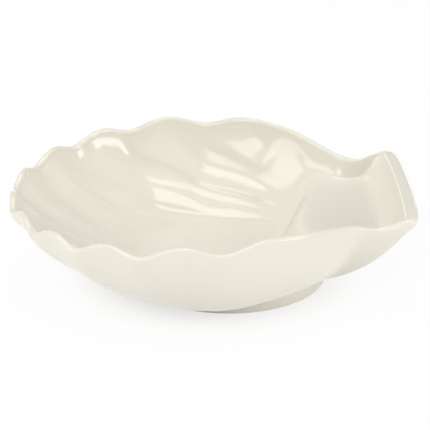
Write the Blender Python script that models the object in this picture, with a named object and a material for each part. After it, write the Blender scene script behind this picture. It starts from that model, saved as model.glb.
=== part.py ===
"""A scallop shell baking dish of glazed ceramic, pressed and fired as one piece.

Eleven lobes fan out from the hinge end, which has a shallow trough between two
flared ears. The dish stands on a round foot. The tip points to -X, the hinge end
to +X, and the foot rests on Z = 0. Every ring of the wall is worked out from the
rim line, so the inner face, the lip and the outer face follow the same lobes.
"""
import bpy
import bmesh
import numpy as np

MM = 0.001

# Plan of the outer edge, measured from the centre of the round body
BODY_RADIUS = 63.6 * MM
HINGE_REACH = 75.3 * MM
EAR_HALF_WIDTH = 35.5 * MM
EAR_FLARE = 0.18
EAR_CORNER_SOFTNESS = 0.10
NECK_SOFTNESS = 0.14
EAR_LENGTH = 4.5 * MM
HINGE_BLEND = 1.2 * MM

# Lobes: the middle one lies on the tip, and the last one on each side runs into the neck
LOBE_PITCH = 19.1
LOBE_SPREAD = 0.10
LOBES_PER_SIDE = 5
LOBE_HOLD = 14.0
LOBE_RISE = 3.15 * MM
LOBE_SWAY = 0.75 * MM
LOBE_CREASE = 0.07
BELLY_SWELL = 0.35 * MM

# Flutes inside: their ribs are arcs of ellipses that draw together at the hinge end
FLUTE_DEPTH = 0.8 * MM
FLUTE_EDGE = 1.8
FLUTE_TOP = 0.45
FLUTE_AT_TIP = 0.35
FLUTE_START = 0.3
FLUTE_END = 0.2
RIB_CENTRE = -50.0 * MM
RIB_REACH = 104.0 * MM
RIB_LIMIT = 98.0 * MM
RIB_SQUEEZE = 0.22
RIB_END = 31.0 * MM
RIB_FADE = 3.0 * MM

# Height of the lip along the rim
RIM_HEIGHT = 35.8 * MM
TIP_DROP = 2.85 * MM
END_DROP = 1.15 * MM
NECK_DIP = 11.3 * MM
NECK_DIP_PLACE = 75.2 * MM
NECK_DIP_LENGTH = 29.5 * MM
EAR_CURL = 6.2 * MM
EAR_CURL_PLACE = 69.0 * MM
EAR_CURL_LENGTH = 2.8 * MM

# Lip, which is broader along the hinge edge
LIP_RADIUS = 1.2 * MM
HINGE_LIP = 1.3 * MM
HINGE_LIP_LEAN = 0.24

# Inside: a flat floor, a steep wall up to a bowed shoulder, and the trough behind it
FLOOR_TOP = 7.0 * MM
FLOOR_RADIUS = 31.0 * MM
TROUGH_TOP = 20.6 * MM
TROUGH_SAG = 3.0 * MM
TROUGH_HALF_WIDTH = 28.5 * MM
SHOULDER_PLACE = 35.7 * MM
SHOULDER_BOW = 5.2 * MM
SHOULDER_SPAN = 35.0 * MM
SHOULDER_LIMIT = 1.9
SHOULDER_LENGTH = 1.4 * MM
SHOULDER_SPREAD = 1.1 * MM
SIDE_FILLET = 2.6 * MM
SIDE_POWER = 2.4
END_RAMP = 9.0 * MM
END_POWER = 2.2
RAMP_PLACE = 60.0 * MM
RAMP_LENGTH = 2.0 * MM

# Outside: the foot, the belly above it and the block under the trough
FOOT_CENTRE = 13.1 * MM
FOOT_RADIUS = 34.5 * MM
FOOT_RING = 4.0 * MM
FOOT_ROUND = 0.6 * MM
FOOT_HEIGHT = 2.5 * MM
FOOT_RECESS = 1.8 * MM
BLOCK_RAISE = 3.3 * MM
EAR_OVERHANG = 0.4 * MM
END_OVERHANG = 3.0 * MM
CORNER_OVERHANG = 2.9 * MM
EAR_THICKNESS = 4.2 * MM
END_THICKNESS = 5.1 * MM
FLARE_FILLET = 0.035
MERGE_LENGTH = 0.01 * MM

# Section of the walls: (start, top) powers of the curve from the foot to the lip
SIDE_CURVE = (1.69, 1.77)
TIP_CURVE = (1.39, 1.27)
BLOCK_CURVE = (1.82, 1.06)

# Where the fan gives way to the trough inside, and to the block outside, in degrees from the tip
TROUGH_TURN = 137.0
TROUGH_TURN_WIDTH = 2.5
BLOCK_TURN = 147.4
BLOCK_TURN_WIDTH = 4.0
BLOCK_LEAN = 18.7
RAISE_TURN = 112.0
RAISE_TURN_WIDTH = 7.2
TANGENT_TURN = 0.25

# Rings of the mesh
AROUND = 144
INNER_RINGS = 21
LIP_RINGS = 6
OUTER_RINGS = 12
SHARP_TURN = 50.0

GLAZE_COLOUR = (0.86, 0.82, 0.70, 1.0)
GLAZE_ROUGHNESS = 0.18


def step(value):
    """A smooth step from 0 to 1 about value = 0."""
    return 1.0 / (1.0 + np.exp(-np.clip(value, -60.0, 60.0)))


def mix(first, second, share):
    return first + (second - first) * share


def soft_max(first, second, softness):
    return 0.5 * (first + second + np.sqrt((first - second) ** 2 + softness ** 2))


def soft_min(first, second, softness):
    return 0.5 * (first + second - np.sqrt((first - second) ** 2 + softness ** 2))


def lobe_count(angle):
    """Lobes passed from the tip, counted as 1 at the crown of the next one."""
    turned = np.abs(angle)
    return turned / LOBE_PITCH * (1.0 - LOBE_SPREAD * (turned / 90.0) ** 2)


def lobe_wave(angle):
    """+1 on the crown of a lobe and -1 in a groove, held at the crown past the last lobe."""
    count = lobe_count(angle)
    wave = np.cos(2.0 * np.pi * count) - LOBE_CREASE * np.cos(4.0 * np.pi * count)
    return mix(wave, 1.0 - LOBE_CREASE, step((count - LOBES_PER_SIDE) * LOBE_HOLD))


def outline(angle):
    """Outer edge in plan: a circle, and two flared sides that a straight hinge edge closes."""
    turn = np.radians(angle)
    along = np.cos(turn)
    across = np.abs(np.sin(turn))
    side_at_centre = EAR_HALF_WIDTH - EAR_FLARE * HINGE_REACH
    side = (across + EAR_FLARE * along) / side_at_centre
    side = side + 2.0 / BODY_RADIUS * np.maximum(along, 0.0)
    hinge = -along / HINGE_REACH
    ears = soft_max(hinge, side, EAR_CORNER_SOFTNESS / BODY_RADIUS)
    reach = 1.0 / soft_min(1.0 / BODY_RADIUS, ears, NECK_SOFTNESS / BODY_RADIUS)
    fan = 1.0 - block_share(angle)
    reach = reach - 0.5 * LOBE_SWAY * lobe_wave(angle) * fan
    return -reach * along, reach * np.sin(turn)


def trough_share(angle):
    return step((np.abs(angle) - TROUGH_TURN) / TROUGH_TURN_WIDTH)


def block_share(angle, share=1.0):
    """0 under the fan and 1 in the block, which spreads round the foot lower down."""
    turn = BLOCK_TURN - BLOCK_LEAN * (1.0 - share)
    return step((np.abs(angle) - turn) / BLOCK_TURN_WIDTH)


def rim(angle):
    """Point, height, outward direction and lobe wave of the outer edge."""
    x, y = outline(angle)
    along = np.cos(np.radians(angle))
    wave = lobe_wave(angle)
    height = RIM_HEIGHT - TIP_DROP * along - END_DROP * along ** 2 + 0.5 * LOBE_RISE * wave
    height = height - NECK_DIP * np.exp(-((x - NECK_DIP_PLACE) / NECK_DIP_LENGTH) ** 2)
    height = height + EAR_CURL * step((x - EAR_CURL_PLACE) / EAR_CURL_LENGTH)
    before = outline(angle - TANGENT_TURN)
    after = outline(angle + TANGENT_TURN)
    tangent = np.array([after[0] - before[0], after[1] - before[1]])
    tangent = tangent / np.hypot(tangent[0], tangent[1])
    return x, y, height, -tangent[1], tangent[0], wave


def at_hinge_edge(x, out_x):
    """1 along the hinge edge, 0 along the sides of the ears and round the fan."""
    return step((x - HINGE_REACH + EAR_LENGTH) / HINGE_BLEND) * np.clip(out_x, 0.0, 1.0)


def half_lip(x, out_x):
    return LIP_RADIUS + HINGE_LIP * at_hinge_edge(x, out_x) ** 2


def lip_start(x, out_x):
    """Turn of the lip's round at its inner side, which leans back along the hinge edge."""
    return np.pi - HINGE_LIP_LEAN * at_hinge_edge(x, out_x) ** 2


def drawn_in(x, y, out_x, out_y, inset):
    """The edge point drawn in towards the foot's centre, to stand inset from the edge."""
    square_reach = (x - FOOT_CENTRE) * out_x + y * out_y
    share = 1.0 - inset / square_reach
    return FOOT_CENTRE + (x - FOOT_CENTRE) * share, y * share


def flute_wave(x, y):
    """+1 in a flute and -1 on a rib, which is followed along its arc to the rim's circle."""
    squeeze = np.sqrt(np.maximum(1.0 - ((x - RIB_CENTRE) / RIB_REACH) ** 2, RIB_SQUEEZE ** 2))
    width = np.minimum(np.abs(y) / squeeze, RIB_LIMIT)
    flat = (width / RIB_REACH) ** 2
    rest = width ** 2 - flat * RIB_CENTRE ** 2 - BODY_RADIUS ** 2
    root = np.sqrt(np.maximum((flat * RIB_CENTRE) ** 2 - (1.0 - flat) * rest, 0.0))
    rim_x = (-flat * RIB_CENTRE - root) / (1.0 - flat)
    count = lobe_count(np.degrees(np.arccos(np.clip(-rim_x / BODY_RADIUS, -1.0, 1.0))))
    wave = np.tanh(FLUTE_EDGE * np.cos(2.0 * np.pi * count)) / np.tanh(FLUTE_EDGE)
    wave = mix(wave, 1.0, step((count - LOBES_PER_SIDE) * LOBE_HOLD))
    depth = mix(1.0, FLUTE_AT_TIP, np.maximum(-rim_x / BODY_RADIUS, 0.0) ** 2)
    return wave * depth * squeeze * step((RIB_END - x) / RIB_FADE)


def curve_powers(angle):
    """Powers of the fan's wall, from the tip round to the side."""
    tip = np.maximum(np.cos(np.radians(angle)), 0.0) ** 2
    return [mix(side, end, tip) for side, end in zip(SIDE_CURVE, TIP_CURVE)]


def wall_curve(share, powers):
    """Share of the height reached at a share of the way out: flat at first, upright at the lip."""
    start, top = powers
    return 1.0 - (1.0 - np.clip(share, 0.0, 1.0) ** start) ** (1.0 / top)


def trough_climb(x, share, square_reach, end):
    """Share of the height reached in the trough, by a fillet at the sides and a ramp at the end."""
    fillet = mix(SIDE_FILLET, END_RAMP, end)
    power = mix(SIDE_POWER, END_POWER, end)
    wall = np.clip(1.0 - (1.0 - share) * square_reach / fillet, 0.0, 1.0) ** power
    end_x = HINGE_REACH - 2.0 * (LIP_RADIUS + HINGE_LIP)
    ramp = np.clip(1.0 - (end_x - x) / END_RAMP, 0.0, 1.0) ** END_POWER
    ramp = ramp * step((x - RAMP_PLACE) / RAMP_LENGTH) * (1.0 - end)
    return 1.0 - (1.0 - wall) * (1.0 - ramp)


def inner_ring(angle, share):
    """One ring of the inner face: share is 0 over the foot's centre and 1 at the lip."""
    x, y, height, out_x, out_y, wave = rim(angle)
    end = at_hinge_edge(x, out_x) ** 2
    start = lip_start(x, out_x)
    inset = half_lip(x, out_x) * (1.0 - np.cos(start))
    edge_x, edge_y = drawn_in(x, y, out_x, out_y, inset)
    edge_x = edge_x - FOOT_CENTRE
    reach = np.hypot(edge_x, edge_y)
    place_x = FOOT_CENTRE + edge_x * share
    place_y = edge_y * share
    turned = trough_share(angle)
    distance = np.clip((share * reach - FLOOR_RADIUS) / (reach - FLOOR_RADIUS), 0.0, 1.0)
    square_reach = edge_x * out_x + edge_y * out_y
    climb = mix(
        wall_curve(distance, curve_powers(angle)),
        trough_climb(place_x, share, square_reach, end),
        turned,
    )
    bow = np.minimum((place_y / SHOULDER_SPAN) ** 2, SHOULDER_LIMIT)
    shoulder_x = SHOULDER_PLACE + SHOULDER_BOW * bow * (2.0 - bow)
    trough = TROUGH_TOP + TROUGH_SAG * (place_y / TROUGH_HALF_WIDTH) ** 2
    shoulder_length = SHOULDER_LENGTH + SHOULDER_SPREAD * bow
    base = mix(FLOOR_TOP, trough, step((place_x - shoulder_x) / shoulder_length))
    spread = np.clip(distance / FLUTE_START, 0.0, 1.0)
    top = np.clip(1.0 - (1.0 - distance) / FLUTE_END, 0.0, 1.0)
    fade = spread ** 2 * (3.0 - 2.0 * spread) * mix(1.0, FLUTE_TOP, top ** 2) * (1.0 - turned)
    push = FLUTE_DEPTH * fade * flute_wave(place_x, place_y)
    brim = height - LIP_RADIUS * (1.0 - np.sin(start))
    z = mix(base, brim, climb) - push * (1.0 - climb)
    return place_x + out_x * push, place_y + out_y * push, z


def outer_ring(angle, share):
    """One ring of the outer face: share is 0 at the foot's edge and 1 at the lip."""
    x, y, height, out_x, out_y, wave = rim(angle)
    reach = np.hypot(x - FOOT_CENTRE, y)
    ray_x = (x - FOOT_CENTRE) / reach
    ray_y = y / reach
    square_reach = (x - FOOT_CENTRE) * out_x + y * out_y
    turned = block_share(angle, share)
    edge = at_hinge_edge(x, out_x)
    end = np.sqrt(edge)
    corner = CORNER_OVERHANG * (y / EAR_HALF_WIDTH) ** 2
    overhang = turned * mix(EAR_OVERHANG, END_OVERHANG + corner, edge)
    block_reach = reach * (1.0 - overhang / square_reach)
    place = mix(FOOT_RADIUS, reach, share)
    thickness = turned * (mix(EAR_THICKNESS, END_THICKNESS, end) - LIP_RADIUS)
    under = (place - block_reach) / np.maximum(reach - block_reach, MERGE_LENGTH)
    flare = thickness * (1.0 - np.sqrt(1.0 - np.clip(under, 0.0, 1.0) ** 2))
    fan_powers = curve_powers(angle)
    powers = [mix(near, far, turned) for near, far in zip(fan_powers, BLOCK_CURVE)]
    width = block_reach - FOOT_RADIUS
    fillet = FLARE_FILLET * turned
    distance = soft_min((place - FOOT_RADIUS) / width, 1.0, fillet)
    distance = distance / soft_min((reach - FOOT_RADIUS) / width, 1.0, fillet)
    climb = wall_curve(distance, powers)
    top = height - LIP_RADIUS - thickness
    swell = 4.0 * climb * (1.0 - climb) * (1.0 - turned) * BELLY_SWELL * wave
    z = mix(foot_top(angle), top, climb) + flare - swell
    return FOOT_CENTRE + ray_x * place + out_x * swell, ray_y * place + out_y * swell, z


def foot_top(angle):
    """Height of the foot's side, which grows under the trough."""
    return FOOT_HEIGHT + BLOCK_RAISE * step((np.abs(angle) - RAISE_TURN) / RAISE_TURN_WIDTH)


def lip_ring(angle, share):
    """One ring of the lip: share is 0 at its inner side and 1 at its outer side."""
    x, y, height, out_x, out_y, wave = rim(angle)
    half = half_lip(x, out_x)
    start = lip_start(x, out_x)
    inner_x, inner_y = drawn_in(x, y, out_x, out_y, half * (1.0 - np.cos(start)))
    fan = 1.0 - trough_share(angle)
    push = FLUTE_DEPTH * FLUTE_TOP * fan * flute_wave(inner_x, inner_y) * (1.0 - share)
    turn = start * (1.0 - share)
    place_x, place_y = drawn_in(x, y, out_x, out_y, half * (1.0 - np.cos(turn)))
    z = height - LIP_RADIUS * (1.0 - np.sin(turn))
    return place_x + out_x * push, place_y + out_y * push, z


def foot_ring(angle, radius, z):
    """One ring of the foot, a circle met by the same rays as the outer face."""
    x, y = outline(angle)
    reach = np.hypot(x - FOOT_CENTRE, y)
    place_x = FOOT_CENTRE + (x - FOOT_CENTRE) / reach * radius
    return place_x, y / reach * radius, z + 0.0 * angle


def all_rings():
    """Every ring from the inner floor over the lip and down to the foot, in order."""
    angle = np.linspace(-180.0, 180.0, AROUND, endpoint=False)
    rings = []
    for i in range(1, INNER_RINGS):
        rings.append(inner_ring(angle, np.sin(0.5 * np.pi * i / INNER_RINGS)))
    for i in range(LIP_RINGS + 1):
        rings.append(lip_ring(angle, i / LIP_RINGS))
    for i in range(1, OUTER_RINGS + 1):
        rings.append(outer_ring(angle, np.cos(0.5 * np.pi * i / OUTER_RINGS)))
    rings.append(foot_ring(angle, FOOT_RADIUS, FOOT_ROUND))
    rings.append(foot_ring(angle, FOOT_RADIUS - FOOT_ROUND, 0.0))
    rings.append(foot_ring(angle, FOOT_RADIUS - FOOT_RING, 0.0))
    rings.append(foot_ring(angle, FOOT_RADIUS - FOOT_RING - FOOT_RECESS, FOOT_RECESS))
    return rings


def build_dish():
    """Join the rings with faces and close the floor and the underside."""
    rings = all_rings()
    middle = 0.5 * (min(x.min() for x, y, z in rings) + max(x.max() for x, y, z in rings))
    mesh = bpy.data.meshes.new("dish")
    shell = bmesh.new()
    loops = []
    for x, y, z in rings:
        loops.append([shell.verts.new(point) for point in zip(x - middle, y, z)])
    floor = shell.verts.new((FOOT_CENTRE - middle, 0.0, FLOOR_TOP))
    under = shell.verts.new((FOOT_CENTRE - middle, 0.0, FOOT_RECESS))
    for j in range(AROUND):
        k = (j + 1) % AROUND
        shell.faces.new((floor, loops[0][k], loops[0][j]))
        for upper, lower in zip(loops, loops[1:]):
            shell.faces.new((upper[j], upper[k], lower[k], lower[j]))
        shell.faces.new((loops[-1][j], loops[-1][k], under))
    bmesh.ops.recalc_face_normals(shell, faces=shell.faces)
    shell.to_mesh(mesh)
    shell.free()
    mesh.shade_smooth()
    mesh.set_sharp_from_angle(angle=np.radians(SHARP_TURN))
    dish = bpy.data.objects.new("dish", mesh)
    bpy.context.scene.collection.objects.link(dish)
    dish.data.materials.append(glaze_material())
    return dish


def glaze_material():
    material = bpy.data.materials.new("glaze")
    material.use_nodes = True
    shader = material.node_tree.nodes["Principled BSDF"]
    shader.inputs["Base Color"].default_value = GLAZE_COLOUR
    shader.inputs["Roughness"].default_value = GLAZE_ROUGHNESS
    shader.inputs["Metallic"].default_value = 0.0
    return material


for leftover in list(bpy.data.objects):
    bpy.data.objects.remove(leftover)
build_dish()
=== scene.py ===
# %% [markdown]
# This lesson dresses a scallop shell baking dish. The real dish is one piece of clay: it was
# pressed between two moulds, dried, dipped in a cream glaze and fired standing on its bare foot.
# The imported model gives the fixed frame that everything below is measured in.

# %% Load the frame
import math

import bmesh
import bpy
from mathutils import Matrix, Vector


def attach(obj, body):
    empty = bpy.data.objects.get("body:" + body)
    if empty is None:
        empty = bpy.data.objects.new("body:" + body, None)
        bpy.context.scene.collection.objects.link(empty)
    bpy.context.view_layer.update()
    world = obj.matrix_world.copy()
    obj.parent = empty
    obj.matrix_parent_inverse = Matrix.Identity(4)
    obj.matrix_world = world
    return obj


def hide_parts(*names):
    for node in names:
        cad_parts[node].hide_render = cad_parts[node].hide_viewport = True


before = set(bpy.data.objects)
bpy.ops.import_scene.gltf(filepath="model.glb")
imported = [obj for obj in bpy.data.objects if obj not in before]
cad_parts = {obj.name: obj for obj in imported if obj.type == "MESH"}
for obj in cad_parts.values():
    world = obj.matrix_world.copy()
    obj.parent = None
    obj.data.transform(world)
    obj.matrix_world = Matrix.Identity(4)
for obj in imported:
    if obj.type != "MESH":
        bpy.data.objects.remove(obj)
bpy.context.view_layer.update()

# %% [markdown]
# A moulded dish has a few driving sizes, and everything else follows from them. They are named
#  inputs of a Geometry Nodes tree here. The lengths are in metres and the angles in degrees from
#  the tip of the fan.

# %% Driving sizes
MM = 0.001
SIZES = {
    "Body Radius": 63.6 * MM,
    "Hinge Reach": 75.3 * MM,
    "Ear Half Width": 35.5 * MM,
    "Ear Flare": 0.18,
    "Ear Corner Softness": 0.10,
    "Neck Softness": 0.14,
    "Ear Length": 4.5 * MM,
    "Hinge Blend": 1.2 * MM,
    "Lobe Pitch": 19.1,
    "Lobe Spread": 0.10,
    "Lobes Per Side": 5.0,
    "Lobe Hold": 14.0,
    "Lobe Rise": 3.15 * MM,
    "Lobe Sway": 0.75 * MM,
    "Lobe Crease": 0.07,
    "Belly Swell": 0.35 * MM,
    "Flute Depth": 0.8 * MM,
    "Flute Edge": 1.8,
    "Flute Top": 0.45,
    "Flute At Tip": 0.35,
    "Flute Start": 0.3,
    "Flute End": 0.2,
    "Rib Centre": -50.0 * MM,
    "Rib Reach": 104.0 * MM,
    "Rib Limit": 98.0 * MM,
    "Rib Squeeze": 0.22,
    "Rib End": 31.0 * MM,
    "Rib Fade": 3.0 * MM,
    "Rim Height": 35.8 * MM,
    "Tip Drop": 2.85 * MM,
    "End Drop": 1.15 * MM,
    "Neck Dip": 11.3 * MM,
    "Neck Dip Place": 75.2 * MM,
    "Neck Dip Length": 29.5 * MM,
    "Ear Curl": 6.2 * MM,
    "Ear Curl Place": 69.0 * MM,
    "Ear Curl Length": 2.8 * MM,
    "Lip Radius": 1.2 * MM,
    "Hinge Lip": 1.3 * MM,
    "Hinge Lip Lean": 0.24,
    "Floor Top": 7.0 * MM,
    "Floor Radius": 31.0 * MM,
    "Trough Top": 20.6 * MM,
    "Trough Sag": 3.0 * MM,
    "Trough Half Width": 28.5 * MM,
    "Shoulder Place": 35.7 * MM,
    "Shoulder Bow": 5.2 * MM,
    "Shoulder Span": 35.0 * MM,
    "Shoulder Limit": 1.9,
    "Shoulder Length": 1.4 * MM,
    "Shoulder Spread": 1.1 * MM,
    "Side Fillet": 2.6 * MM,
    "Side Power": 2.4,
    "End Ramp": 9.0 * MM,
    "End Power": 2.2,
    "Ramp Place": 60.0 * MM,
    "Ramp Length": 2.0 * MM,
    "Foot Centre": 13.1 * MM,
    "Foot Radius": 34.5 * MM,
    "Foot Ring": 4.0 * MM,
    "Foot Round": 0.6 * MM,
    "Foot Height": 2.5 * MM,
    "Foot Recess": 1.8 * MM,
    "Block Raise": 3.3 * MM,
    "Ear Overhang": 0.4 * MM,
    "End Overhang": 3.0 * MM,
    "Corner Overhang": 2.9 * MM,
    "Ear Thickness": 4.2 * MM,
    "End Thickness": 5.1 * MM,
    "Flare Fillet": 0.035,
}
print(len(SIZES), "sizes drive the dish")

# %% [markdown]
# A few more numbers are fixed in the tree. The turns say how far round from the tip the fan gives
# way to the trough inside, to the block outside, and to the taller side of the foot. The curves
# hold two powers each, for the start of a wall at the foot and for its top at the lip.

# %% Turns and curves
TROUGH_TURN = 137.0
TROUGH_TURN_WIDTH = 2.5
BLOCK_TURN = 147.4
BLOCK_TURN_WIDTH = 4.0
BLOCK_LEAN = 18.7
RAISE_TURN = 112.0
RAISE_TURN_WIDTH = 7.2
SIDE_CURVE = (1.69, 1.77)
TIP_CURVE = (1.39, 1.27)
BLOCK_CURVE = (1.82, 1.06)
print("the fan ends", TROUGH_TURN, "degrees from the tip inside and", BLOCK_TURN, "outside")

# %% [markdown]
# A formula in a node tree is a chain of Math nodes, which is slow to wire by hand. This small
# class lets the script write the formula as plain arithmetic and adds the nodes itself. Each
# Field is a number that the tree works out afresh at every point of the mesh.

# %% Arithmetic that grows Math nodes
STEP_LIMIT = 30.0
tree = bpy.data.node_groups.new("Shell Dish", "GeometryNodeTree")


def math_node(operation, *values):
    node = tree.nodes.new("ShaderNodeMath")
    node.operation = operation
    for socket, value in zip(node.inputs, values):
        if isinstance(value, Field):
            tree.links.new(value.socket, socket)
        else:
            socket.default_value = value
    return Field(node.outputs[0])


class Field:
    """A number at every point, which grows the tree when it is used in arithmetic."""

    def __init__(self, socket):
        self.socket = socket

    def __add__(self, other):
        return math_node("ADD", self, other)

    def __radd__(self, other):
        return math_node("ADD", other, self)

    def __sub__(self, other):
        return math_node("SUBTRACT", self, other)

    def __rsub__(self, other):
        return math_node("SUBTRACT", other, self)

    def __mul__(self, other):
        return math_node("MULTIPLY", self, other)

    def __rmul__(self, other):
        return math_node("MULTIPLY", other, self)

    def __truediv__(self, other):
        return math_node("DIVIDE", self, other)

    def __rtruediv__(self, other):
        return math_node("DIVIDE", other, self)

    def __pow__(self, other):
        return math_node("POWER", self, other)

    def __neg__(self):
        return math_node("MULTIPLY", self, -1.0)


def clamp(value, low=0.0, high=1.0):
    return math_node("MINIMUM", math_node("MAXIMUM", value, low), high)


def step(value):
    """A smooth step from 0 to 1 about value = 0, with its exponent held within STEP_LIMIT."""
    return 1.0 / (1.0 + math_node("EXPONENT", -clamp(value, -STEP_LIMIT, STEP_LIMIT)))


def mix(first, second, share):
    return first + (second - first) * share


def length(a, b):
    return math_node("SQRT", a * a + b * b)


def soft_max(first, second, softness):
    return (first + second + length(first - second, softness)) * 0.5


def soft_min(first, second, softness):
    return (first + second - length(first - second, softness)) * 0.5


print("arithmetic ready for", tree.name)

# %% [markdown]
# The tree needs its sockets before anything can be wired. Each driving size becomes one float
# input with its plain name. Every face of the dish starts as a flat grid one unit square, whose
# X runs round the dish and whose Y runs across the wall, so one pair of fields serves them all.

# %% Named inputs and the two directions of every grid
for name, value in SIZES.items():
    socket = tree.interface.new_socket(name, in_out="INPUT", socket_type="NodeSocketFloat")
    socket.default_value = value
tree.interface.new_socket("Geometry", in_out="OUTPUT", socket_type="NodeSocketGeometry")
group_input = tree.nodes.new("NodeGroupInput")
size = {name: Field(group_input.outputs[name]) for name in SIZES}
position = tree.nodes.new("GeometryNodeInputPosition")
parts = tree.nodes.new("ShaderNodeSeparateXYZ")
tree.links.new(position.outputs[0], parts.inputs[0])
angle = Field(parts.outputs[0]) * 360.0
share = Field(parts.outputs[1]) + 0.5
print("tree has", len(tree.interface.items_tree), "sockets")

# %% [markdown]
# A scallop's ribs widen from the tip round to the sides. Counting lobes with a gently slowing
# rule and taking a cosine of the count gives that spacing, and a little of its second harmonic
# makes the crowns broad and the grooves tight. Past the last lobe the wave is held at its crown,
# because the widest lobe runs smoothly into the neck.

# %% Lobes along the rim
def lobe_count(angle):
    turned = math_node("ABSOLUTE", angle)
    quarter = turned / 90.0
    return turned / size["Lobe Pitch"] * (1.0 - size["Lobe Spread"] * quarter * quarter)


def lobe_wave(angle):
    count = lobe_count(angle)
    wave = math_node("COSINE", count * (2.0 * math.pi))
    wave = wave - size["Lobe Crease"] * math_node("COSINE", count * (4.0 * math.pi))
    past_last = step((count - size["Lobes Per Side"]) * size["Lobe Hold"])
    return mix(wave, 1.0 - size["Lobe Crease"], past_last)


print("lobes round the fan:", 2 * round(SIZES["Lobes Per Side"]) + 1)

# %% [markdown]
# Seen from above the dish is a circle with two flared ears that a straight hinge edge closes.
# Written as one over the distance from the centre, a straight line is a single sine or cosine,
# so the whole outline is the softened least or greatest of three short terms. The soft limits
# leave round ear corners and a round neck, as clay has. The rim sways in a little at each crown.

# %% Outline of the dish
def block_share(angle, share=1.0):
    """0 under the fan and 1 in the block, which spreads round the foot lower down."""
    turn = BLOCK_TURN - BLOCK_LEAN * (1.0 - share)
    return step((math_node("ABSOLUTE", angle) - turn) / BLOCK_TURN_WIDTH)


def outline(angle):
    turn = angle * (math.pi / 180.0)
    along = math_node("COSINE", turn)
    across = math_node("SINE", turn)
    side_at_centre = size["Ear Half Width"] - size["Ear Flare"] * size["Hinge Reach"]
    side = (math_node("ABSOLUTE", across) + size["Ear Flare"] * along) / side_at_centre
    side = side + 2.0 / size["Body Radius"] * math_node("MAXIMUM", along, 0.0)
    hinge = -along / size["Hinge Reach"]
    ears = soft_max(hinge, side, size["Ear Corner Softness"] / size["Body Radius"])
    body = 1.0 / size["Body Radius"]
    reach = 1.0 / soft_min(body, ears, size["Neck Softness"] / size["Body Radius"])
    fan = 1.0 - block_share(angle)
    reach = reach - 0.5 * size["Lobe Sway"] * lobe_wave(angle) * fan
    return -(reach * along), reach * across


print("ears end", round(SIZES["Hinge Reach"] / MM, 1), "mm from the centre of the circle")

# %% [markdown]
# The rim is lowest at the tip, highest over the widest lobes, and dips at the neck before the
# ears curl up. The direction straight out of the rim is needed too, because the lip is a round
# bead whose section stands square to it. Two points a quarter degree to each side give it.

# %% The rim line
TANGENT_TURN = 0.25
edge_x, edge_y = outline(angle)
before_x, before_y = outline(angle - TANGENT_TURN)
after_x, after_y = outline(angle + TANGENT_TURN)
span = length(after_x - before_x, after_y - before_y)
out_x = (before_y - after_y) / span
out_y = (after_x - before_x) / span
wave = lobe_wave(angle)
along = math_node("COSINE", angle * (math.pi / 180.0))
dip = (edge_x - size["Neck Dip Place"]) / size["Neck Dip Length"]
curl = step((edge_x - size["Ear Curl Place"]) / size["Ear Curl Length"])
height = size["Rim Height"] - size["Tip Drop"] * along - size["End Drop"] * along * along
height = height + size["Lobe Rise"] * wave * 0.5 + size["Ear Curl"] * curl
height = height - size["Neck Dip"] * math_node("EXPONENT", -(dip * dip))
past_ear = step((edge_x - size["Hinge Reach"] + size["Ear Length"]) / size["Hinge Blend"])
at_hinge_edge = past_ear * clamp(out_x)
half_lip = size["Lip Radius"] + size["Hinge Lip"] * at_hinge_edge * at_hinge_edge
lip_start = math.pi - size["Hinge Lip Lean"] * at_hinge_edge * at_hinge_edge
print("rim line takes", len(tree.nodes), "nodes so far")

# %% [markdown]
# Inside, the ribs of the shell are arcs of ellipses that draw together at the hinge end. A point
# in the bowl is followed along its arc out to the rim's circle, which gives the angle where that
# rib meets the rim, and so whether the point lies in a flute or on a rib. The hyperbolic tangent
# squares the wave off, so the ribs have broad flat backs and fairly crisp edges.

# %% Flutes inside
def flute_wave(x, y):
    offset = (x - size["Rib Centre"]) / size["Rib Reach"]
    least = size["Rib Squeeze"] ** 2.0
    squeeze = math_node("SQRT", math_node("MAXIMUM", 1.0 - offset * offset, least))
    width = math_node("MINIMUM", math_node("ABSOLUTE", y) / squeeze, size["Rib Limit"])
    flat = (width / size["Rib Reach"]) ** 2.0
    shift = flat * size["Rib Centre"]
    rest = width * width - shift * size["Rib Centre"] - size["Body Radius"] ** 2.0
    inside_root = shift * shift - (1.0 - flat) * rest
    root = math_node("SQRT", math_node("MAXIMUM", inside_root, 0.0))
    rim_x = -(shift + root) / (1.0 - flat)
    turn = math_node("ARCCOSINE", clamp(-rim_x / size["Body Radius"], -1.0))
    count = lobe_count(turn * (180.0 / math.pi))
    wave = math_node("COSINE", count * (2.0 * math.pi)) * size["Flute Edge"]
    wave = math_node("TANH", wave) / math_node("TANH", size["Flute Edge"])
    wave = mix(wave, 1.0, step((count - size["Lobes Per Side"]) * size["Lobe Hold"]))
    tipward = math_node("MAXIMUM", -rim_x / size["Body Radius"], 0.0) ** 2.0
    depth = mix(1.0, size["Flute At Tip"], tipward)
    return wave * depth * squeeze * step((size["Rib End"] - x) / size["Rib Fade"])


print("flutes swing", round(SIZES["Flute Depth"] / MM, 1), "mm to each side of the smooth wall")

# %% [markdown]
# In section the wall leaves the foot nearly flat and stands upright at the lip. That is a quarter
# of a superellipse, whose two powers set how round each end is. The powers change from the long
# sloping tip to the steeper sides, and outside again where the fan gives way to the hinge end.

# %% The curve of the walls
turned_degrees = math_node("ABSOLUTE", angle)
to_trough = step((turned_degrees - TROUGH_TURN) / TROUGH_TURN_WIDTH)
to_tip = math_node("MAXIMUM", along, 0.0) ** 2.0
fan_curve = [mix(side, tip, to_tip) for side, tip in zip(SIDE_CURVE, TIP_CURVE)]


def wall_curve(distance, start, top):
    return 1.0 - (1.0 - clamp(distance) ** start) ** (1.0 / top)


print("powers of the wall at the sides", SIDE_CURVE, "and at the tip", TIP_CURVE)

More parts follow.
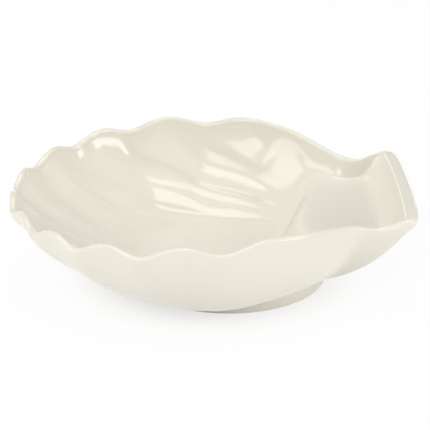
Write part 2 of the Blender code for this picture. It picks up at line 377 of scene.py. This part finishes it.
# %% [markdown]
# Inside, a flat floor rises along the flutes on the fan side. On the hinge side a steep wall climbs
# to a bowed shoulder. The trough runs on from there between tight fillets to a ramp at the hinge
# edge. Each point lies on a ray from the foot's centre, and is then pushed out in a flute or in
# on a rib. Sine spacing crowds the rows where the wall is steep.

# %% Inner face
def drawn_in(inset):
    ray_x = edge_x - size["Foot Centre"]
    inner_share = 1.0 - inset / (ray_x * out_x + edge_y * out_y)
    return ray_x * inner_share, edge_y * inner_share


lip_x, lip_y = drawn_in(half_lip * (1.0 - math_node("COSINE", lip_start)))
lip_reach = length(lip_x, lip_y)


def trough_climb(x, share):
    square_reach = lip_x * out_x + lip_y * out_y
    end = at_hinge_edge * at_hinge_edge
    fillet = mix(size["Side Fillet"], size["End Ramp"], end)
    power = mix(size["Side Power"], size["End Power"], end)
    wall = clamp(1.0 - (1.0 - share) * square_reach / fillet) ** power
    end_x = size["Hinge Reach"] - 2.0 * (size["Lip Radius"] + size["Hinge Lip"])
    ramp = clamp(1.0 - (end_x - x) / size["End Ramp"]) ** size["End Power"]
    ramp = ramp * step((x - size["Ramp Place"]) / size["Ramp Length"]) * (1.0 - end)
    return 1.0 - (1.0 - wall) * (1.0 - ramp)


def inner_face(share):
    x = size["Foot Centre"] + lip_x * share
    y = lip_y * share
    distance = (share * lip_reach - size["Floor Radius"]) / (lip_reach - size["Floor Radius"])
    distance = clamp(distance)
    climb = mix(wall_curve(distance, *fan_curve), trough_climb(x, share), to_trough)
    bow = math_node("MINIMUM", (y / size["Shoulder Span"]) ** 2.0, size["Shoulder Limit"])
    shoulder_x = size["Shoulder Place"] + size["Shoulder Bow"] * bow * (2.0 - bow)
    trough = size["Trough Top"] + size["Trough Sag"] * (y / size["Trough Half Width"]) ** 2.0
    shoulder_length = size["Shoulder Length"] + size["Shoulder Spread"] * bow
    base = mix(size["Floor Top"], trough, step((x - shoulder_x) / shoulder_length))
    spread = clamp(distance / size["Flute Start"])
    top = clamp(1.0 - (1.0 - distance) / size["Flute End"])
    fade = spread * spread * (3.0 - 2.0 * spread) * mix(1.0, size["Flute Top"], top * top)
    push = size["Flute Depth"] * fade * (1.0 - to_trough) * flute_wave(x, y)
    brim = height - size["Lip Radius"] * (1.0 - math_node("SINE", lip_start))
    z = mix(base, brim, climb) - push * (1.0 - climb)
    return x + out_x * push, y + out_y * push, z


trough_rise = (SIZES["Trough Top"] - SIZES["Floor Top"]) / MM
print("the trough lies", round(trough_rise, 1), "mm above the floor")

# %% [markdown]
# Outside, the belly swells between the foot and the lip. Under the trough it becomes a thick
# rounded block, as on the hinge of a real shell, and the ears stand proud of it as flanges. The
# same wall curve is used, with its outer end drawn in by the overhang.

# %% Outer face
MERGE_DISTANCE = 0.01 * MM


def foot_top():
    raised = step((turned_degrees - RAISE_TURN) / RAISE_TURN_WIDTH)
    return size["Foot Height"] + size["Block Raise"] * raised


def outer_face(share):
    ray_x = edge_x - size["Foot Centre"]
    reach = length(ray_x, edge_y)
    square_reach = ray_x * out_x + edge_y * out_y
    to_block = block_share(angle, share)
    end = math_node("SQRT", at_hinge_edge)
    corner = size["Corner Overhang"] * (edge_y / size["Ear Half Width"]) ** 2.0
    end_overhang = size["End Overhang"] + corner
    overhang = to_block * mix(size["Ear Overhang"], end_overhang, at_hinge_edge)
    block_reach = reach * (1.0 - overhang / square_reach)
    place = mix(size["Foot Radius"], reach, share)
    flange = mix(size["Ear Thickness"], size["End Thickness"], end)
    flange = to_block * (flange - size["Lip Radius"])
    flange_width = math_node("MAXIMUM", reach - block_reach, MERGE_DISTANCE)
    under = clamp((place - block_reach) / flange_width)
    flare = flange * (1.0 - math_node("SQRT", 1.0 - under * under))
    width = block_reach - size["Foot Radius"]
    fillet = size["Flare Fillet"] * to_block
    distance = soft_min((place - size["Foot Radius"]) / width, 1.0, fillet)
    distance = distance / soft_min((reach - size["Foot Radius"]) / width, 1.0, fillet)
    powers = [mix(fan, block, to_block) for fan, block in zip(fan_curve, BLOCK_CURVE)]
    climb = wall_curve(distance, *powers)
    top = height - size["Lip Radius"] - flange
    swell = climb * (1.0 - climb) * 4.0 * (1.0 - to_block) * size["Belly Swell"] * wave
    x = size["Foot Centre"] + ray_x / reach * place + out_x * swell
    y = edge_y / reach * place + out_y * swell
    return x, y, mix(foot_top(), top, climb) + flare - swell


print("the flange is", round(SIZES["End Thickness"] / MM, 1), "mm thick at the hinge edge")

# %% [markdown]
# The lip is a round bead that is broader along the hinge edge. Its inner side starts where the
# flutes and ribs leave it, so their push dies away over the bead.

# %% Lip
def lip_face(share):
    turn = (1.0 - share) * lip_start
    inner_wave = flute_wave(lip_x + size["Foot Centre"], lip_y)
    push = size["Flute Depth"] * size["Flute Top"] * (1.0 - to_trough) * inner_wave * (1.0 - share)
    x, y = drawn_in(half_lip * (1.0 - math_node("COSINE", turn)))
    x = size["Foot Centre"] + x + out_x * push
    return x, y + out_y * push, height - size["Lip Radius"] * (1.0 - math_node("SINE", turn))


print("the lip is", round(2.0 * SIZES["Lip Radius"] / MM, 1), "mm thick round the fan")

# %% [markdown]
# The foot is turned round, whatever the lobes above it do. Its side drops from the belly, its
# underside is a flat ring that was wiped free of glaze, and inside the ring the clay is hollowed
# a little so that the dish cannot rock. The share of the way in is split into five equal parts:
# the side, the rounded edge, the ring, the slope into the hollow and the flat middle.

# %% Foot
FOOT_PARTS = 5.0


def foot_part(share, first):
    return clamp(share * FOOT_PARTS - first)


def foot_face(share):
    ray_x = edge_x - size["Foot Centre"]
    reach = length(ray_x, edge_y)
    corner = size["Foot Round"]
    side = foot_part(share, 0.0)
    rounding = foot_part(share, 1.0) * (math.pi / 2.0)
    ring = foot_part(share, 2.0)
    recess = foot_part(share, 3.0)
    flat_middle = foot_part(share, 4.0)
    z = mix(foot_top(), corner, side) - corner * math_node("SINE", rounding)
    z = z + size["Foot Recess"] * recess * recess * (3.0 - 2.0 * recess)
    radius = size["Foot Radius"] - corner * (1.0 - math_node("COSINE", rounding))
    radius = radius - (size["Foot Ring"] - corner) * ring - size["Foot Recess"] * recess
    radius = radius * (1.0 - flat_middle)
    return size["Foot Centre"] + ray_x / reach * radius, edge_y / reach * radius, z


print("the foot is", round(2.0 * SIZES["Foot Radius"] / MM, 1), "mm across")

# %% [markdown]
# Each face is a grid with enough rows for its curves. The rows of one face end where the rows of
# the next begin, so merging the doubles joins them in one skin. The tree ends in Realize Instances
# and Set Material.

# %% Wire the faces together
AROUND = 480
INNER_ROWS = 96
LIP_ROWS = 13
OUTER_ROWS = 70
FOOT_ROWS = 21
QUARTER = math.pi / 2.0


def bent_grid(rows, x, y, z):
    grid = tree.nodes.new("GeometryNodeMeshGrid")
    grid.inputs["Size X"].default_value = 1.0
    grid.inputs["Size Y"].default_value = 1.0
    grid.inputs["Vertices X"].default_value = AROUND + 1
    grid.inputs["Vertices Y"].default_value = rows
    place = tree.nodes.new("ShaderNodeCombineXYZ")
    for socket, value in zip(place.inputs, (x, y, z)):
        tree.links.new(value.socket, socket)
    bend = tree.nodes.new("GeometryNodeSetPosition")
    tree.links.new(grid.outputs["Mesh"], bend.inputs["Geometry"])
    tree.links.new(place.outputs[0], bend.inputs["Position"])
    return bend.outputs["Geometry"]


glaze = bpy.data.materials.new("cream_glaze")
joined = tree.nodes.new("GeometryNodeJoinGeometry")
faces = (
    bent_grid(INNER_ROWS, *inner_face(math_node("SINE", share * QUARTER))),
    bent_grid(LIP_ROWS, *lip_face(share)),
    bent_grid(OUTER_ROWS, *outer_face(math_node("COSINE", share * QUARTER))),
    bent_grid(FOOT_ROWS, *foot_face(share)),
)
for face in faces:
    tree.links.new(face, joined.inputs[0])
closed = tree.nodes.new("GeometryNodeMergeByDistance")
closed.inputs["Distance"].default_value = MERGE_DISTANCE
smooth = tree.nodes.new("GeometryNodeSetShadeSmooth")
realized = tree.nodes.new("GeometryNodeRealizeInstances")
painted = tree.nodes.new("GeometryNodeSetMaterial")
painted.inputs["Material"].default_value = glaze
group_output = tree.nodes.new("NodeGroupOutput")
chain = (joined, closed, smooth, realized, painted, group_output)
for first, second in zip(chain, chain[1:]):
    tree.links.new(first.outputs[0], second.inputs[0])
print("tree finished with", len(tree.nodes), "nodes and", len(tree.links), "links")

# %% [markdown]
# The modifier's inputs are set by each socket's identifier before the dish is first worked out.
# Then the evaluated result is copied to a plain mesh and the modifier is dropped, so what is
# handed on is ordinary geometry. It is moved along X until its length is centred, as the solid's
# is. A closed skin has no edge with other than two faces. The few that are printed here lie along
# two hairline slits, at most 0.04 mm wide, outside under the lip where each neck begins.

# %% Make the dish a plain mesh
maker = bpy.data.objects.new("dish_maker", bpy.data.meshes.new("dish_maker"))
bpy.context.scene.collection.objects.link(maker)
modifier = maker.modifiers.new("Shell Dish", "NODES")
modifier.node_group = tree
for item in tree.interface.items_tree:
    if item.in_out == "INPUT":
        modifier[item.identifier] = SIZES[item.name]
bpy.context.view_layer.update()
evaluated = maker.evaluated_get(bpy.context.evaluated_depsgraph_get())
mesh = bpy.data.meshes.new_from_object(evaluated)
dish = bpy.data.objects.new("glazed_dish", mesh)
bpy.context.scene.collection.objects.link(dish)
bpy.data.objects.remove(maker)
ends = [vertex.co.x for vertex in mesh.vertices]
middle = 0.5 * (min(ends) + max(ends))
mesh.transform(Matrix.Translation((-middle, 0.0, 0.0)))

skin = bmesh.new()
skin.from_mesh(mesh)
open_edges = sum(1 for edge in skin.edges if len(edge.link_faces) != 2)
volume = skin.calc_volume(signed=True)
skin.free()
print("dish:", len(mesh.polygons), "faces,", open_edges, "open edges,", round(volume * 1e6, 1), "cm3")
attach(dish, "root")
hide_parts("dish")

# %% [markdown]
# The glaze is a cream gloss over white clay. Its tint drifts faintly from place to place, because
# a dipped glaze runs thicker in the hollows, and its face is a little wavy, which is what bends
# the edges of the highlights. The flat foot ring was wiped bare, so below a quarter millimetre
# the shader turns to dry clay.

# %% Glaze
THIN_GLAZE = (0.80, 0.775, 0.69, 1.0)
THICK_GLAZE = (0.79, 0.755, 0.65, 1.0)
BARE_CLAY = (0.74, 0.70, 0.62, 1.0)
BARE_HEIGHT = 0.25 * MM
GLAZE_ROUGHNESS = 0.13
CLAY_ROUGHNESS = 0.8
GLAZE_IOR = 1.5
TINT_SCALE = 28.0
WAVE_SCALE = 55.0
WAVE_HEIGHT = 0.12 * MM

glaze.use_nodes = True
nodes = glaze.node_tree.nodes
links = glaze.node_tree.links
shader = nodes["Principled BSDF"]
shader.inputs["IOR"].default_value = GLAZE_IOR
coordinates = nodes.new("ShaderNodeTexCoord")


def noise(scale, detail):
    texture = nodes.new("ShaderNodeTexNoise")
    texture.inputs["Scale"].default_value = scale
    texture.inputs["Detail"].default_value = detail
    links.new(coordinates.outputs["Object"], texture.inputs["Vector"])
    return texture.outputs["Fac"]


def colour_mix(share, first, second):
    blend = nodes.new("ShaderNodeMix")
    blend.data_type = "RGBA"
    links.new(share, blend.inputs["Factor"])
    blend.inputs["A"].default_value = first
    if isinstance(second, tuple):
        blend.inputs["B"].default_value = second
    else:
        links.new(second, blend.inputs["B"])
    return blend.outputs["Result"]


def number_node(operation, value, second, third=0.0):
    node = nodes.new("ShaderNodeMath")
    node.operation = operation
    links.new(value, node.inputs[0])
    node.inputs[1].default_value = second
    node.inputs[2].default_value = third
    return node.outputs[0]


tint = colour_mix(noise(TINT_SCALE, 2.0), THIN_GLAZE, THICK_GLAZE)
heights = nodes.new("ShaderNodeSeparateXYZ")
links.new(coordinates.outputs["Object"], heights.inputs[0])
glazed = number_node("GREATER_THAN", heights.outputs["Z"], BARE_HEIGHT)
roughness = number_node("MULTIPLY_ADD", glazed, GLAZE_ROUGHNESS - CLAY_ROUGHNESS, CLAY_ROUGHNESS)
links.new(roughness, shader.inputs["Roughness"])
waves = nodes.new("ShaderNodeBump")
waves.inputs["Distance"].default_value = WAVE_HEIGHT
waves.inputs["Strength"].default_value = 1.0
links.new(noise(WAVE_SCALE, 1.0), waves.inputs["Height"])
links.new(waves.outputs["Normal"], shader.inputs["Normal"])
links.new(colour_mix(glazed, BARE_CLAY, tint), shader.inputs["Base Color"])
print("glaze shader has", len(nodes), "nodes")

# %% [markdown]
# The camera stands where the photograph's stood: on the near side, a few degrees round towards
# the tip, and 22.5 degrees above the table, almost a metre off with a long lens.

# %% Camera
CAMERA_TURN = math.radians(-3.27)
CAMERA_RISE = math.radians(22.5)
CAMERA_DISTANCE = 0.958
TARGET = Vector((0.0115, 0.0547, 0.0))
BODY_CENTRE = Vector((-middle, 0.0, 0.0))
LENS_PIXELS = 2547.0
FRAME_PIXELS = 430.0
SENSOR_WIDTH = 36.0
back = Vector((
    math.sin(CAMERA_TURN) * math.cos(CAMERA_RISE),
    -math.cos(CAMERA_TURN) * math.cos(CAMERA_RISE),
    math.sin(CAMERA_RISE),
))
right = Vector((math.cos(CAMERA_TURN), math.sin(CAMERA_TURN), 0.0))
up = back.cross(right)
camera_data = bpy.data.cameras.new("camera")
camera_data.sensor_width = SENSOR_WIDTH
camera_data.lens = LENS_PIXELS / FRAME_PIXELS * SENSOR_WIDTH
camera_data.clip_end = 50.0
camera = bpy.data.objects.new("camera", camera_data)
bpy.context.scene.collection.objects.link(camera)
turned = Matrix((right, up, back)).transposed().to_4x4()
camera.matrix_world = Matrix.Translation(BODY_CENTRE + TARGET + back * CAMERA_DISTANCE) @ turned
bpy.context.scene.camera = camera
print("the lens is", round(camera_data.lens, 1), "mm long on a", SENSOR_WIDTH, "mm sensor")

# %% [markdown]
# A white table and soft light. To the camera and in reflections the table is mostly plain white,
# and a share of its lit colour is kept so that the dish's shadow stays on it. The lit share is
# larger near the dish, where the photograph has its only shadow, and fades out over SHADOW_REACH,
# two distances from the middle of the dish.

# %% Table
WHITE_NEAR = 0.66
WHITE_FAR = 0.93
SHADOW_REACH = (33.0 * MM, 56.0 * MM)
PAPER_WHITE = (0.95, 0.95, 0.95, 1.0)
TABLE_SIZE = 8.0
bpy.ops.mesh.primitive_plane_add(size=TABLE_SIZE, location=(0.0, 0.0, 0.0))
table = bpy.context.object
table.name = "table"
paper = bpy.data.materials.new("white_table")
paper.use_nodes = True
nodes = paper.node_tree.nodes
links = paper.node_tree.links
diffuse = nodes["Principled BSDF"]
diffuse.inputs["Base Color"].default_value = PAPER_WHITE
diffuse.inputs["Roughness"].default_value = 0.9
diffuse.inputs["Specular IOR Level"].default_value = 0.0
emission = nodes.new("ShaderNodeEmission")
emission.inputs["Strength"].default_value = 1.0
path = nodes.new("ShaderNodeLightPath")
seen = nodes.new("ShaderNodeMath")
seen.operation = "MAXIMUM"
links.new(path.outputs["Is Camera Ray"], seen.inputs[0])
links.new(path.outputs["Is Glossy Ray"], seen.inputs[1])
place = nodes.new("ShaderNodeTexCoord")
distance = nodes.new("ShaderNodeVectorMath")
distance.operation = "LENGTH"
links.new(place.outputs["Object"], distance.inputs[0])
fade = nodes.new("ShaderNodeMapRange")
fade.interpolation_type = "SMOOTHSTEP"
fade.inputs["From Min"].default_value = SHADOW_REACH[0]
fade.inputs["From Max"].default_value = SHADOW_REACH[1]
fade.inputs["To Min"].default_value = WHITE_NEAR
fade.inputs["To Max"].default_value = WHITE_FAR
links.new(distance.outputs["Value"], fade.inputs["Value"])
amount = nodes.new("ShaderNodeMath")
amount.operation = "MULTIPLY"
links.new(seen.outputs[0], amount.inputs[0])
links.new(fade.outputs[0], amount.inputs[1])
blend = nodes.new("ShaderNodeMixShader")
links.new(amount.outputs[0], blend.inputs[0])
links.new(diffuse.outputs[0], blend.inputs[1])
links.new(emission.outputs[0], blend.inputs[2])
links.new(blend.outputs[0], nodes["Material Output"].inputs["Surface"])
table.data.materials.append(paper)
print("white share of the table: near", WHITE_NEAR, "far", WHITE_FAR)

# %% [markdown]
# Softboxes stand in front, at each side and overhead, and a white wall stands behind. Their
# places come from the highlights in the photograph: each is where a mirror at that spot would look.
# Each row gives a direction from the dish, a distance, a width, a height and how bright the face
# of the lamp is, where 1 is the white of the picture.

# %% Lights
WORLD_LEVEL = 0.40
LAMPS = (
    ("left_softbox", (-0.45, -0.71, 0.58), 1.36, 0.7, 0.7, 3.3),
    ("right_softbox", (0.86, -0.42, 0.28), 1.38, 0.55, 0.75, 5.4),
    ("side_softbox", (-0.86, -0.21, 0.43), 1.40, 0.5, 0.9, 3.0),
    ("overhead", (0.0, 0.15, 1.0), 1.32, 0.8, 0.8, 2.8),
    ("white_wall", (0.0, 0.97, 0.12), 1.50, 1.6, 0.24, 2.0),
)
world = bpy.data.worlds.new("room")
bpy.context.scene.world = world
world.use_nodes = True
background = world.node_tree.nodes["Background"]
background.inputs["Color"].default_value = (1.0, 1.0, 1.0, 1.0)
background.inputs["Strength"].default_value = WORLD_LEVEL


def softbox(name, direction, distance, width, height, radiance):
    data = bpy.data.lights.new(name, "AREA")
    data.shape = "RECTANGLE"
    data.size = width
    data.size_y = height
    data.energy = radiance * math.pi * width * height
    lamp = bpy.data.objects.new(name, data)
    bpy.context.scene.collection.objects.link(lamp)
    away = Vector(direction).normalized()
    turned = away.to_track_quat("Z", "Y").to_matrix().to_4x4()
    lamp.matrix_world = Matrix.Translation(away * distance) @ turned


for lamp_row in LAMPS:
    softbox(*lamp_row)
bpy.context.scene.view_settings.view_transform = "Standard"
print(len(LAMPS), "lamps stand round the dish")
